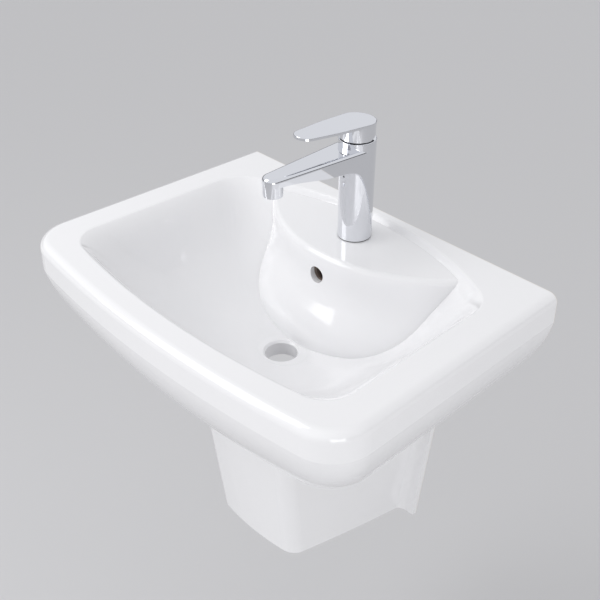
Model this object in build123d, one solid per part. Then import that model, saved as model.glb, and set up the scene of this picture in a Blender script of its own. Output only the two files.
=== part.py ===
"""Wall-hung wash basin on a half pedestal, with its single-lever mixer tap.

Millimetres, +Z up. X runs to the user's right and +Y to the wall, whose face is the plane
Y = 0. The origin is midway between the two wall bolts of the basin. Each piece of the real
object is written to parts/NODE.step.
"""

import math
import os

from build123d import *

# ---------------------------------------------------------------- basin
RIM_Z = 85.0                 # rim top above the wall bolts
WALL_BOLT_SPACING = 280.0
WALL_BOLT_HOLE_R = 7.0
BASIN_WIDTH = 600.0          # at the wall
BASIN_FLARE = 13.0           # each side is this much wider at the front corners
BASIN_DEPTH = 440.0          # wall to the middle of the front
BASIN_BOW = 27.0             # the front edge curves back this much at the corners
BASIN_CORNER_R = 60.0
SKIRT_HEIGHT = 42.0
RIM_ROLL_R = 13.0
BASIN_HEIGHT = 178.0
UNDERSIDE_INSET = 86.0       # the flat underside is drawn in this much
CLAY = 11.0                  # ceramic thickness

RECESS_WIDTH = 502.0         # edge of the dished top, behind
RECESS_FLARE = 10.0
RECESS_BACK = 11.0           # from the wall
RECESS_BACK_SAG = 70.0       # the back edge curves forward this much at the sides
RECESS_FRONT_RIM = 40.0      # width of the front rim
RECESS_FRONT_BOW = 27.0
RECESS_FRONT_R = 44.0
RECESS_BACK_R = 55.0
BOWL_FRONT_SHARE = 0.8356    # corner rounds at the drain, as shares of the straight side
BOWL_BACK_SHARE = 0.5993
ROUND_ROOM = 0.9995          # share of a side that its two rounds may take up
BOWL_DEPTH = 143.0

TAP_SETBACK = 69.0           # tap axis to the wall
LEDGE_DROP = 8.0             # tap ledge below the rim
LEDGE_FRONT = 141.0          # front of the ledge to the wall, on the centre line
LEDGE_HALF = 192.0           # half length of the ledge, into the back rim
LEDGE_TIP = 45.0             # its tips to the wall
LEDGE_HOLLOW_HALF = 150.0    # half length of the space below it
LEDGE_PLATE = 14.0
LEDGE_EDGE_R = 8.0
RECESS_EDGE_R = 5.0
TAP_HOLE_R = 17.5

DRAIN_SETBACK = 212.0
DRAIN_R = 23.0
DRAIN_MOUTH = 3.0            # countersink of the drain hole
DRAIN_BOSS_R = 38.0
DRAIN_BOSS_DROP = 172.0      # rim top to the bottom of the drain boss
OVERFLOW_R = 12.5
OVERFLOW_DROP = 44.0

FLOOR_PLATE = 12.0           # underside of the basin
SERVICE_HALF = 150.0         # opening in the underside, for the pipes
SERVICE_FRONT = 284.0
BACK_WALL = 14.0

# ---------------------------------------------------------------- half pedestal
PED_GAP = 0.3                # joint between pedestal and basin
PED_WALL = 11.0
PED_TOP_FRONT = 309.0        # front of the pedestal to the wall, at the top
PED_TOP_FRONT_HALF = 93.0
PED_TOP_REAR_HALF = 127.0
PED_LOW_DROP = 560.0         # level of the lowest plan
PED_LOW_FRONT = 266.0
PED_LOW_FRONT_HALF = 80.5
PED_LOW_REAR_HALF = 69.5
PED_LOW_FLANGE_HALF = 97.5
PED_BOW = 10.0
PED_CORNER_R = 24.0
PED_FOOT_DROP = 540.0        # rim top to the foot, at the wall
PED_FOOT_SLOPE = 0.31        # the foot rises towards the front
PED_FOOT_R = 3.5
PED_FLANGE_THICK = 10.0
PED_FLANGE_R = 12.0
PED_EDGE_DROP = 324.0        # top edge at the wall
PED_EDGE_LOW_Y = 14.0
PED_EDGE_LOW_DROP = 335.0
PED_EDGE_TURN_Y = 122.0      # there the top edge turns up to the basin
PED_EDGE_TURN_DROP = 312.0
PED_EDGE_END_Y = 215.0
PED_EDGE_TURN_R = 25.0
PED_LUG_DROP = 400.0
PED_LUG_SPACING = 110.0
PED_LUG_HALF = 15.0
PED_LUG_THICK = 14.0
PED_LUG_HOLE_R = 4.5

# ---------------------------------------------------------------- tap, heights above the ledge
RUN = 0.05                   # clearance of parts that turn or slide
SEAT = 0.1                   # clearance of parts that are only put together
GASKET = 1.5
GASKET_BORE_R = 18.0
GASKET_R = 23.5
TAP_BASE_R = 24.5
TAP_TOP_R = 26.5
COLUMN_R = 24.3              # inner column that shows below the spout
COLUMN_TOP = 125.0
TAP_SHOULDER = 151.5
TAP_EDGE_R = 1.2
SPOUT_REACH = 154.0          # tap axis to the outlet axis
SPOUT_TIP_R = 14.0
SPOUT_TOP_TIP = 145.5
SPOUT_TOP_ROOT = 142.0
SPOUT_UNDER_TIP = 134.0
SPOUT_UNDER_MID = 129.5
SPOUT_UNDER_ROOT = 120.0
DRAPE_START_DROP = 5.0       # the underside falls away to the column by these, below its root
DRAPE_TURN_DROP = 13.0
DRAPE_STEEP_DROP = 27.0
SPOUT_FOOT = 62.0            # height of the drape line beside the tap axis
SPOUT_EDGE_R = 5.0
OUTLET_R = 13.5
OUTLET_BOTTOM = 121.0
OUTLET_BORE_R = 10.8
OUTLET_BORE_TOP = 134.0
OUTLET_COVER = 3.0           # spout above the outlet socket
WATERWAY_R = 3.6
SUPPLY_R = 3.0
CHAIN_EYE_Z = 88.0
CHAIN_EYE_R = 1.8
CHAIN_EYE_DEPTH = 4.0

AERATOR_COLLAR_R = 12.8
AERATOR_COLLAR = 3.0
AERATOR_BORE_R = 8.5
AERATOR_LIP = 1.2
AERATOR_INSERT = 9.0
AERATOR_SEAL = 1.8
AERATOR_HOLE_R = 0.9

CHAMBER_R = 18.0
CHAMBER_FLOOR = 100.5
CART_BASE = 4.0
CART_SKIN = 2.0
FIXED_DISC = 4.5
MOVING_DISC = 4.0
MOVING_DISC_R = 11.0
CARRIER_PLATE = 3.0
CARRIER_NECK = 10.0          # square neck that slides in the guide
CARRIER_TOP = 129.5
PORT_R = 3.0
PORT_X = 7.5
PORT_SEAT = 2.3              # width of the seal seat round a port
PORT_LIP = 0.4
PORT_SEAL = 1.6              # height of the seal
CART_SHOULDER = 122.5
CART_LIP = 2.3
CART_TOP = 133.5
NUT_TOP = 132.5
NUT_SLOT = 4.0
GUIDE_R = 12.5
GUIDE_TOP = 146.5
RING_GROOVE = 1.2
RING_Z = 127.0
PIVOT_Z = 139.5
PIVOT_PIN_R = 1.5
STEM_R = 4.5
STEM_BALL_R = 3.0
STEM_ARM_R = 1.9
STEM_ARM = 13.0              # pivot to the ball that drives the disc
STEM_BLOCK = 6.5             # pivot to the lower end of the thick stem
STEM_SQUARE = 8.0
STEM_SQUARE_START = 161.0
STEM_TOP = 172.0
STEM_SWING = 9.3             # half length of the slot that the stem swings in
POCKET_SPARE = 0.1
LIFT_LIMIT = 18.0            # degrees

DOME_R = 21.5
DOME_SHEET = 1.6
DOME_MOUTH_R = 12.6
LEVER_SOCKET_R = 22.6        # hollow of the hub, about the pivot
LEVER_HUB_R = 24.8
LEVER_GAP = 1.5              # hub above the body, at the front
LEVER_TOP = 178.0            # top face over the tap axis
LEVER_PITCH = 4.5            # degrees
LEVER_THICK = 4.0
LEVER_REAR_R = 25.6
LEVER_MID = 48.0
LEVER_MID_R = 22.8
LEVER_REACH = 96.0           # tap axis to the centre of the tip
LEVER_TIP_R = 16.5
LEVER_EDGE_R = 1.2
GRUB_R = 2.5
GRUB_LENGTH = 12.0
GRUB_Z = 167.0
GRUB_HEX = 2.5
PLUG_R = 3.2
PLUG_LENGTH = 3.0

STUD_R = 4.0
STUD_TOP = 14.0
STUD_BOTTOM = -48.0
STUD_OFFSET = 10.0
INLET_R = 4.5
INLET_DEPTH = 16.0
INLET_X = 7.5
INLET_Y = 5.0
HORSESHOE_R = 24.0
HOSE_ROOM = 1.0              # around each hose tail in the slot of the horseshoe
RUBBER_THICK = 3.0
PLATE_THICK = 2.5
NUT_AF = 13.0
NUT_HEIGHT = 8.0

LEDGE_Z = RIM_Z - LEDGE_DROP
TAP = Pos(0, -TAP_SETBACK, LEDGE_Z)
UP = (Align.CENTER, Align.CENTER, Align.MIN)

# depths and sizes of the level sections of the basin
BELLY = [(0.0, SKIRT_HEIGHT), (3.0, 56.0), (8.0, 72.0), (18.0, 95.0), (35.0, 124.0), (52.0, 148.0)]
BELLY = BELLY + [(UNDERSIDE_INSET, BASIN_HEIGHT)]
BOWL = [(1.0, 0.0), (0.962, 8.0), (0.885, 34.0), (0.755, 74.0), (0.575, 110.0), (0.36, 133.0)]
BOWL = BOWL + [(0.15, BOWL_DEPTH)]
LEDGE_WALL = [(0.0, LEDGE_DROP), (3.0, 46.0), (12.0, 78.0), (30.0, 106.0), (40.0, 128.0), (44.0, 150.0)]


def outline(back_half, front_half, depth, bow, corner_r, z):
    """Plan of the basin: straight back at the wall, nearly straight sides, bowed front."""
    side = depth - bow
    edges = [
        Line((-back_half, 0), (back_half, 0)),
        Line((back_half, 0), (front_half, -side)),
        ThreePointArc((front_half, -side), (0, -depth), (-front_half, -side)),
        Line((-front_half, -side), (-back_half, 0)),
    ]
    face = make_face(edges)
    face = fillet(face.vertices().sort_by(Axis.Y)[:2], corner_r)
    return Pos(0, 0, z) * face


def belly_section(inset, drop, corner_r=BASIN_CORNER_R):
    """Plan of the outside at a depth below the rim, drawn in by inset on three sides."""
    half = BASIN_WIDTH / 2 - inset
    return outline(half, half + BASIN_FLARE, BASIN_DEPTH - inset, BASIN_BOW, corner_r, RIM_Z - drop)


def round_reach(half, bow, radius, lean):
    """How far a corner round runs along a side that leans outwards from its bowed end."""
    bow_r = (half**2 + bow**2) / (2 * bow)
    along = (bow_r - bow) * math.cos(lean) - half * math.sin(lean)
    across = half * math.cos(lean) + (bow_r - bow) * math.sin(lean)
    return along - math.sqrt((bow_r - radius) ** 2 - (across - radius) ** 2)


def recess_section(scale, drop):
    """Plan of the dished top, drawn in towards the drain for the deeper parts of the bowl."""

    def toward_drain(y):
        return -DRAIN_SETBACK + (y + DRAIN_SETBACK) * scale

    back_half = RECESS_WIDTH / 2 * scale
    front_half = (RECESS_WIDTH / 2 + RECESS_FLARE) * scale
    back = toward_drain(-RECESS_BACK)
    front = toward_drain(RECESS_FRONT_RIM - BASIN_DEPTH)
    back_corner = toward_drain(-RECESS_BACK - RECESS_BACK_SAG)
    front_corner = toward_drain(RECESS_FRONT_RIM - BASIN_DEPTH + RECESS_FRONT_BOW)
    edges = [
        ThreePointArc((-back_half, back_corner), (0, back), (back_half, back_corner)),
        Line((back_half, back_corner), (front_half, front_corner)),
        ThreePointArc((front_half, front_corner), (0, front), (-front_half, front_corner)),
        Line((-front_half, front_corner), (-back_half, back_corner)),
    ]
    face = make_face(edges)
    deeper = max(0.0, 1.0 - scale)
    side = BASIN_DEPTH - RECESS_FRONT_RIM - RECESS_FRONT_BOW - RECESS_BACK - RECESS_BACK_SAG
    front_r = (RECESS_FRONT_R * (1 - deeper) + BOWL_FRONT_SHARE * side * deeper) * scale
    back_r = (RECESS_BACK_R * (1 - deeper) + BOWL_BACK_SHARE * side * deeper) * scale
    lean = math.atan(RECESS_FLARE / side)
    reach = round_reach(front_half, RECESS_FRONT_BOW * scale, front_r, -lean)
    reach += round_reach(back_half, RECESS_BACK_SAG * scale, back_r, lean)
    side_length = side * scale / math.cos(lean)
    limit = min(1.0, ROUND_ROOM * side_length / reach, ROUND_ROOM * back_half / max(front_r, back_r))
    front_r *= limit
    back_r *= limit
    face = fillet(face.vertices().sort_by(Axis.Y)[:2], front_r)
    face = fillet(face.vertices().filter_by(lambda v: abs(v.Y - back_corner) < 0.05), back_r)
    return Pos(0, 0, RIM_Z - drop) * face


def ledge_section(forward, drop):
    """Plan of the lens-shaped tap ledge and of the steep wall below its front."""
    front = -(LEDGE_FRONT + forward)
    spread = LEDGE_HALF + forward
    edges = [
        ThreePointArc((-spread, -LEDGE_TIP), (0, front), (spread, -LEDGE_TIP)),
        Line((spread, -LEDGE_TIP), (spread, -CLAY / 2)),
        Line((spread, -CLAY / 2), (-spread, -CLAY / 2)),
        Line((-spread, -CLAY / 2), (-spread, -LEDGE_TIP)),
    ]
    return Pos(0, 0, RIM_Z - drop) * make_face(edges)


def tube_between(start, end, radius):
    """Round bar from one point to another, with a ball at each end."""
    start, end = Vector(*start), Vector(*end)
    length = (end - start).length
    bar = Plane(start, z_dir=end - start) * Cylinder(radius, length, align=UP)
    return bar + Pos(*start) * Sphere(radius) + Pos(*end) * Sphere(radius)


def level_edges(shape, z):
    """Edges that lie flat at one height."""
    return shape.edges().filter_by(lambda e: e.bounding_box().size.Z < 0.01 and abs(e.center().Z - z) < 0.01)


def half_space(y):
    """A block that holds everything more than y in front of the wall."""
    size = 4 * BASIN_WIDTH
    return Pos(0, -y, 0) * Box(size, size, size, align=(Align.CENTER, Align.MAX, Align.CENTER))


def basin():
    skirt = extrude(belly_section(0, SKIRT_HEIGHT), SKIRT_HEIGHT)
    rim = skirt.faces().sort_by(Axis.Z)[-1]
    rolled = [edge for edge in rim.edges() if edge.center().Y < -1.0]
    shell = fillet(rolled, RIM_ROLL_R)
    shell += loft([belly_section(inset, drop) for inset, drop in BELLY])

    inner = [(CLAY, RIM_ROLL_R + 1)]
    inner += [(inset + CLAY, drop) for inset, drop in BELLY[:-1]]
    inner += [(BELLY[-1][0] + CLAY / 2, BASIN_HEIGHT - FLOOR_PLATE)]
    hollow = loft([belly_section(inset, drop) for inset, drop in inner])
    hollow = hollow & half_space(BACK_WALL)
    thicker = 1 + CLAY / (RECESS_WIDTH / 2)
    thick_bowl = loft([recess_section(scale * thicker + 0.03, drop + CLAY) for scale, drop in BOWL])
    under_ledge = loft([ledge_section(forward - CLAY, drop + LEDGE_PLATE) for forward, drop in LEDGE_WALL])
    under_ledge = under_ledge & half_space(BACK_WALL)
    shell -= hollow - thick_bowl
    room = Pos(0, 0, RIM_Z - BASIN_HEIGHT + FLOOR_PLATE)
    shell -= under_ledge & room * Box(2 * LEDGE_HOLLOW_HALF, 2 * BASIN_DEPTH, 2 * BASIN_HEIGHT, align=UP)

    bowl = loft([recess_section(scale, drop) for scale, drop in BOWL])
    ledge = loft([ledge_section(forward, drop) for forward, drop in LEDGE_WALL])
    bowl -= ledge
    ledge_rim = level_edges(bowl, LEDGE_Z)
    bowl = fillet(ledge_rim.sort_by(lambda e: e.position_at(0.5).Y)[:1], LEDGE_EDGE_R)
    shell -= bowl
    level = level_edges(shell, RIM_Z)
    reach = BASIN_DEPTH - RECESS_FRONT_RIM + 1
    mouth = level.filter_by(lambda e: -reach < e.position_at(0.5).Y < 1 - RECESS_BACK)
    side_limit = RECESS_WIDTH / 2 + RECESS_FLARE + 1
    shell = fillet(mouth.filter_by(lambda e: abs(e.position_at(0.5).X) < side_limit), RECESS_EDGE_R)

    boss_height = DRAIN_BOSS_DROP - BOWL_DEPTH - CLAY / 2
    shell += Pos(0, -DRAIN_SETBACK, RIM_Z - DRAIN_BOSS_DROP) * Cylinder(DRAIN_BOSS_R, boss_height, align=UP)
    shell -= Pos(0, -DRAIN_SETBACK, RIM_Z - DRAIN_BOSS_DROP) * Cylinder(DRAIN_R, DRAIN_BOSS_DROP, align=UP)
    shell -= Pos(0, -DRAIN_SETBACK, RIM_Z - BOWL_DEPTH - DRAIN_MOUTH) * Cone(
        DRAIN_R, DRAIN_R + 2 * DRAIN_MOUTH, 2 * DRAIN_MOUTH, align=UP
    )
    shell -= Pos(0, -TAP_SETBACK, LEDGE_Z) * Cylinder(TAP_HOLE_R, 4 * LEDGE_PLATE)
    service = Pos(0, -BACK_WALL, RIM_Z - BASIN_HEIGHT)
    service_size = (2 * SERVICE_HALF, SERVICE_FRONT - BACK_WALL, 2 * FLOOR_PLATE)
    shell -= service * Box(*service_size, align=(Align.CENTER, Align.MAX, Align.CENTER))
    overflow = Pos(0, -(LEDGE_FRONT - CLAY / 2), RIM_Z - OVERFLOW_DROP)
    shell -= overflow * Rot(90, 0, 0) * Cylinder(OVERFLOW_R, 3 * CLAY)
    for side in (-1, 1):
        hole = Pos(side * WALL_BOLT_SPACING / 2, 0, 0) * Rot(90, 0, 0)
        shell -= hole * Cylinder(WALL_BOLT_HOLE_R, 3 * BACK_WALL)
    return shell


def pedestal_plan(rear_half, front_half, front, flange_half, drop):
    """Plan of the pedestal and its two wall flanges at one level."""
    side = -(front - PED_BOW)
    half = [
        (flange_half, 0),
        (flange_half, -PED_FLANGE_THICK),
        (rear_half, -PED_FLANGE_THICK),
        (front_half, side),
    ]
    mirror_half = [(-x, y) for x, y in reversed(half)]
    edges = [Line(a, b) for a, b in zip(half, half[1:])]
    edges.append(ThreePointArc(half[-1], (0, -front), mirror_half[0]))
    edges += [Line(a, b) for a, b in zip(mirror_half, mirror_half[1:])]
    edges.append(Line(mirror_half[-1], half[0]))
    face = make_face(edges)

    def near(x, y):
        return face.vertices().filter_by(lambda v: abs(abs(v.X) - x) < 0.5 and abs(v.Y - y) < 0.5)

    face = fillet(near(front_half, side), PED_CORNER_R)
    face = fillet(near(rear_half, -PED_FLANGE_THICK), min(PED_FLANGE_R, (flange_half - rear_half) * 0.9))
    return Pos(0, 0, RIM_Z - drop) * face


def pedestal_bore(rear_half, front_half, front, drop):
    """Plan of the hollow of the pedestal at one level."""
    side = -(front - PED_BOW)
    edges = [
        Line((-rear_half, 1), (rear_half, 1)),
        Line((rear_half, 1), (front_half, side)),
        ThreePointArc((front_half, side), (0, -front), (-front_half, side)),
        Line((-front_half, side), (-rear_half, 1)),
    ]
    face = make_face(edges)
    face = fillet(face.vertices().sort_by(Axis.Y)[:2], PED_CORNER_R - PED_WALL)
    return Pos(0, 0, RIM_Z - drop) * face


def half_pedestal():
    top_drop = BASIN_HEIGHT + PED_GAP

    def between(top, low, part):
        return top + (low - top) * part

    levels = [(0.0, top_drop), (1.0, PED_LOW_DROP)]
    outer = []
    bore = []
    for part, drop in levels:
        rear = between(PED_TOP_REAR_HALF, PED_LOW_REAR_HALF, part)
        front_half = between(PED_TOP_FRONT_HALF, PED_LOW_FRONT_HALF, part)
        front = between(PED_TOP_FRONT, PED_LOW_FRONT, part)
        flange = between(rear + PED_FLANGE_R * 1.2, PED_LOW_FLANGE_HALF, part)
        outer.append(pedestal_plan(rear, front_half, front, flange, drop))
        bore.append(pedestal_bore(rear - PED_WALL, front_half - PED_WALL, front - PED_WALL, drop))
    shell = loft(outer, ruled=True)
    hollow = loft(bore, ruled=True)
    for side in (-1, 1):
        lug_x = side * PED_LUG_SPACING / 2
        lug = Pos(lug_x + side * PED_LUG_HALF, 0, RIM_Z - PED_LUG_DROP) * Box(
            4 * PED_LUG_HALF, PED_LUG_THICK, 2 * PED_LUG_HALF, align=(Align.CENTER, Align.MAX, Align.CENTER)
        )
        hollow -= lug
    shell -= hollow
    for side in (-1, 1):
        hole = Pos(side * PED_LUG_SPACING / 2, 0, RIM_Z - PED_LUG_DROP) * Rot(90, 0, 0)
        shell -= hole * Cylinder(PED_LUG_HOLE_R, 4 * PED_LUG_THICK)

    def point(y, drop):
        return (-y, RIM_Z - drop)

    wide = 2 * PED_TOP_REAR_HALF
    edge = [
        Line(point(-1, PED_EDGE_DROP), point(PED_EDGE_LOW_Y, PED_EDGE_LOW_DROP)),
        Line(point(PED_EDGE_LOW_Y, PED_EDGE_LOW_DROP), point(PED_EDGE_TURN_Y, PED_EDGE_TURN_DROP)),
        Line(point(PED_EDGE_TURN_Y, PED_EDGE_TURN_DROP), point(PED_EDGE_END_Y, top_drop - 1)),
        Line(point(PED_EDGE_END_Y, top_drop - 1), point(-1, top_drop - 1)),
        Line(point(-1, top_drop - 1), point(-1, PED_EDGE_DROP)),
    ]
    scoop = make_face(edge)
    turn = scoop.vertices().sort_by(Axis.Y)
    corner = [v for v in turn if abs(v.X + PED_EDGE_TURN_Y) < 0.5 or abs(v.X + PED_EDGE_LOW_Y) < 0.5]
    scoop = fillet(corner, PED_EDGE_TURN_R)
    shell -= extrude(Plane.YZ * scoop, wide, both=True)
    foot_front = PED_FOOT_DROP - PED_FOOT_SLOPE * 2 * PED_TOP_FRONT
    foot = make_face([
        Line(point(-1, PED_FOOT_DROP), point(2 * PED_TOP_FRONT, foot_front)),
        Line(point(2 * PED_TOP_FRONT, foot_front), point(2 * PED_TOP_FRONT, PED_LOW_DROP + 1)),
        Line(point(2 * PED_TOP_FRONT, PED_LOW_DROP + 1), point(-1, PED_LOW_DROP + 1)),
        Line(point(-1, PED_LOW_DROP + 1), point(-1, PED_FOOT_DROP)),
    ])
    shell -= extrude(Plane.YZ * foot, wide, both=True)

    def on_foot(edge):
        middle = edge.position_at(0.5)
        return abs(RIM_Z - PED_FOOT_DROP - PED_FOOT_SLOPE * middle.Y - middle.Z) < 0.5 and abs(middle.Y) > 1

    return fillet(shell.edges().filter_by(on_foot), PED_FOOT_R)


def tap_body():
    stem = Pos(0, 0, GASKET) * Cone(TAP_BASE_R, TAP_TOP_R, TAP_SHOULDER - GASKET, align=UP)
    stem = fillet(stem.edges().sort_by(Axis.Z)[-1:], TAP_EDGE_R)
    root = Circle(TAP_TOP_R - TAP_EDGE_R / 2)
    plan = make_hull((Pos(0, -SPOUT_REACH) * Circle(SPOUT_TIP_R)).edges() + root.edges())
    bar = extrude(plan, -TAP_SHOULDER)
    bar = fillet(bar.faces().sort_by(Axis.Z)[-1].edges(), SPOUT_EDGE_R)
    rise = math.degrees(math.atan((SPOUT_TOP_TIP - SPOUT_TOP_ROOT) / SPOUT_REACH))
    bar = Pos(0, 0, SPOUT_TOP_ROOT) * Rot(-rise, 0, 0) * bar
    tip = -(SPOUT_REACH + SPOUT_TIP_R)
    back = 2 * TAP_TOP_R
    drape = [
        (tip, SPOUT_UNDER_TIP),
        (-0.77 * SPOUT_REACH, SPOUT_UNDER_MID),
        (-0.42 * SPOUT_REACH, SPOUT_UNDER_ROOT),
        (-TAP_BASE_R * 1.2, SPOUT_UNDER_ROOT - DRAPE_START_DROP),
        (-TAP_BASE_R * 0.7, SPOUT_UNDER_ROOT - DRAPE_TURN_DROP),
        (-TAP_BASE_R * 0.4, SPOUT_UNDER_ROOT - DRAPE_STEEP_DROP),
        (0, SPOUT_FOOT),
        (TAP_BASE_R * 0.8, GASKET),
    ]
    side = make_face([
        Spline(*drape),
        Line(drape[-1], (back, GASKET)),
        Line((back, GASKET), (back, TAP_SHOULDER)),
        Line((back, TAP_SHOULDER), (tip - SPOUT_TIP_R, TAP_SHOULDER)),
        Line((tip - SPOUT_TIP_R, TAP_SHOULDER), (tip - SPOUT_TIP_R, SPOUT_UNDER_TIP)),
        Line((tip - SPOUT_TIP_R, SPOUT_UNDER_TIP), drape[0]),
    ])
    front = Box(4 * TAP_TOP_R, 2 * SPOUT_REACH, 2 * TAP_SHOULDER, align=(Align.CENTER, Align.MAX, Align.MIN))
    bar = bar & front
    shell = (stem + bar) & extrude(Plane.YZ * side, 2 * TAP_TOP_R, both=True)
    column = Pos(0, 0, GASKET) * Cylinder(COLUMN_R, COLUMN_TOP - GASKET, align=UP)
    outlet_height = SPOUT_TOP_TIP - OUTLET_BOTTOM - OUTLET_COVER
    outlet = Pos(0, -SPOUT_REACH, OUTLET_BOTTOM) * Cylinder(OUTLET_R, outlet_height, align=UP)
    shape = shell + column + outlet
    shape -= Pos(0, 0, CHAMBER_FLOOR) * Cylinder(CHAMBER_R, TAP_SHOULDER, align=UP)
    bore_height = OUTLET_BORE_TOP - OUTLET_BOTTOM
    shape -= Pos(0, -SPOUT_REACH, OUTLET_BOTTOM) * Cylinder(OUTLET_BORE_R, bore_height, align=UP)
    window = CHAMBER_FLOOR + CART_BASE + FIXED_DISC + MOVING_DISC
    way = [
        (0, -CHAMBER_R + 3, window),
        (0, -1.35 * TAP_TOP_R, 0.5 * (SPOUT_UNDER_ROOT + SPOUT_TOP_ROOT) - 5),
        (0, -0.4 * SPOUT_REACH, 0.5 * (SPOUT_UNDER_ROOT + SPOUT_TOP_ROOT)),
        (0, -SPOUT_REACH, 0.5 * (SPOUT_UNDER_TIP + SPOUT_TOP_TIP) - 1.5),
    ]
    for start, end in zip(way, way[1:]):
        shape -= tube_between(start, end, WATERWAY_R)
    shape -= Pos(0, -SPOUT_REACH, OUTLET_BOTTOM) * Cylinder(WATERWAY_R, way[-1][2] - OUTLET_BOTTOM, align=UP)
    for x in (-INLET_X, INLET_X):
        shape -= Pos(x, -INLET_Y, GASKET) * Cylinder(INLET_R, INLET_DEPTH, align=UP)
        shape -= Pos(x, -INLET_Y, GASKET) * Cylinder(SUPPLY_R, CHAMBER_FLOOR, align=UP)
    shape -= Pos(0, STUD_OFFSET, 0) * Cylinder(STUD_R + RUN, STUD_TOP + 1, align=UP)
    eye = Pos(0, -TAP_TOP_R, CHAIN_EYE_Z) * Rot(90, 0, 0)
    shape -= eye * Cylinder(CHAIN_EYE_R, 2 * CHAIN_EYE_DEPTH)
    return TAP * shape


def ring(outer, inner, bottom, top):
    """Plain ring about the tap axis."""
    height = top - bottom
    return Pos(0, 0, bottom) * (Cylinder(outer, height, align=UP) - Cylinder(inner, height, align=UP))


def tap_base_gasket():
    return TAP * ring(GASKET_R, GASKET_BORE_R, 0, GASKET)


def horseshoe(bottom, thick, shrink):
    """Plate or washer that straddles the pipes and hangs on the stud."""
    shape = Pos(0, 0, bottom) * Cylinder(HORSESHOE_R - shrink, thick, align=UP)
    hose_r = INLET_R + HOSE_ROOM
    slot = Box(2 * (INLET_X + hose_r), 2 * HORSESHOE_R, thick, align=(Align.CENTER, Align.MAX, Align.MIN))
    slot += Pos(0, -1, 0) * Box(2 * INLET_X, hose_r + 1, thick, align=(Align.CENTER, Align.MIN, Align.MIN))
    for x in (-INLET_X, INLET_X):
        slot += Pos(x, 0, 0) * Cylinder(hose_r, thick, align=UP)
    shape -= Pos(0, -INLET_Y, bottom) * slot
    return shape - Pos(0, STUD_OFFSET, bottom) * Cylinder(STUD_R + 2 * SEAT, thick, align=UP)


def rubber_washer():
    return TAP * horseshoe(-LEDGE_PLATE - RUBBER_THICK, RUBBER_THICK, 0.5)


def horseshoe_plate():
    return TAP * horseshoe(-LEDGE_PLATE - RUBBER_THICK - PLATE_THICK, PLATE_THICK, 0.0)


def tap_stud():
    return TAP * Pos(0, STUD_OFFSET, STUD_BOTTOM) * Cylinder(STUD_R, STUD_TOP - STUD_BOTTOM, align=UP)


def stud_nut():
    top = -LEDGE_PLATE - RUBBER_THICK - PLATE_THICK
    face = RegularPolygon(NUT_AF / 2, 6, major_radius=False)
    nut = extrude(face, NUT_HEIGHT) - Cylinder(STUD_R + RUN, NUT_HEIGHT, align=UP)
    return TAP * Pos(0, STUD_OFFSET, top - NUT_HEIGHT) * nut


def ports(height, radius):
    """Two inlet ports of the cartridge, as cutting bars from the chamber floor."""
    low = CHAMBER_FLOOR - 1
    bars = [Pos(x, -INLET_Y, low) * Cylinder(radius, height + 2, align=UP) for x in (-PORT_X, PORT_X)]
    return bars[0] + bars[1]


def cartridge_base():
    shape = ring(CHAMBER_R - CART_SKIN - SEAT, 2.0, CHAMBER_FLOOR, CHAMBER_FLOOR + CART_BASE)
    shape -= ports(CART_BASE, PORT_R)
    for x in (-PORT_X, PORT_X):
        seat = ring(PORT_R + PORT_SEAT + SEAT, PORT_R, CHAMBER_FLOOR, CHAMBER_FLOOR + PORT_SEAL)
        shape -= Pos(x, -INLET_Y, 0) * seat
    return TAP * shape


def inlet_seals():
    rings = []
    for x in (-PORT_X, PORT_X):
        seal = ring(PORT_R + PORT_SEAT, PORT_R + PORT_LIP, CHAMBER_FLOOR, CHAMBER_FLOOR + PORT_SEAL)
        rings.append(Pos(x, -INLET_Y, 0) * seal)
    return TAP * Compound(rings)


def fixed_disc():
    low = CHAMBER_FLOOR + CART_BASE
    shape = ring(CHAMBER_R - CART_SKIN - SEAT, 2.0, low, low + FIXED_DISC)
    shape -= ports(CART_BASE + FIXED_DISC, PORT_R - 0.5)
    return TAP * shape


def moving_disc():
    low = CHAMBER_FLOOR + CART_BASE + FIXED_DISC
    shape = Pos(0, 0, low) * Cylinder(MOVING_DISC_R, MOVING_DISC, align=UP)
    shape -= Pos(0, MOVING_DISC_R * 0.35, low) * Cylinder(PORT_R + 0.5, MOVING_DISC / 2, align=UP)
    return TAP * shape


def carrier_low():
    return CHAMBER_FLOOR + CART_BASE + FIXED_DISC + MOVING_DISC


def disc_carrier():
    low = carrier_low()
    shape = Pos(0, 0, low) * Cylinder(MOVING_DISC_R, CARRIER_PLATE, align=UP)
    shape += Pos(0, 0, low) * Box(CARRIER_NECK, CARRIER_NECK, CARRIER_TOP - low, align=UP)
    pocket_floor = PIVOT_Z - STEM_ARM - STEM_BALL_R - 1
    shape -= Pos(0, 0, pocket_floor) * Cylinder(STEM_BALL_R + POCKET_SPARE, CARRIER_TOP, align=UP)
    return TAP * shape


def cartridge_body():
    shape = ring(CHAMBER_R - SEAT, CHAMBER_R - CART_SKIN, CHAMBER_FLOOR, CART_SHOULDER)
    shape += ring(CHAMBER_R - SEAT, GUIDE_R + RUN, CART_SHOULDER, CART_SHOULDER + CART_SKIN)
    shape += ring(GUIDE_R + RUN + CART_LIP, GUIDE_R + RUN, CART_SHOULDER, CART_TOP)
    shape -= Pos(0, 0, RING_Z) * ring(GUIDE_R + RUN + RING_GROOVE, GUIDE_R, -RING_GROOVE, RING_GROOVE)
    window = Pos(0, -CHAMBER_R, carrier_low()) * Rot(90, 0, 0)
    shape -= window * Cylinder(WATERWAY_R, 3 * CART_SKIN)
    return TAP * shape


def guide_seal():
    groove = GUIDE_R + RUN + RING_GROOVE
    half = RING_GROOVE - SEAT
    return TAP * Pos(0, 0, RING_Z) * ring(groove - SEAT, GUIDE_R + SEAT, -half, half)


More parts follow.
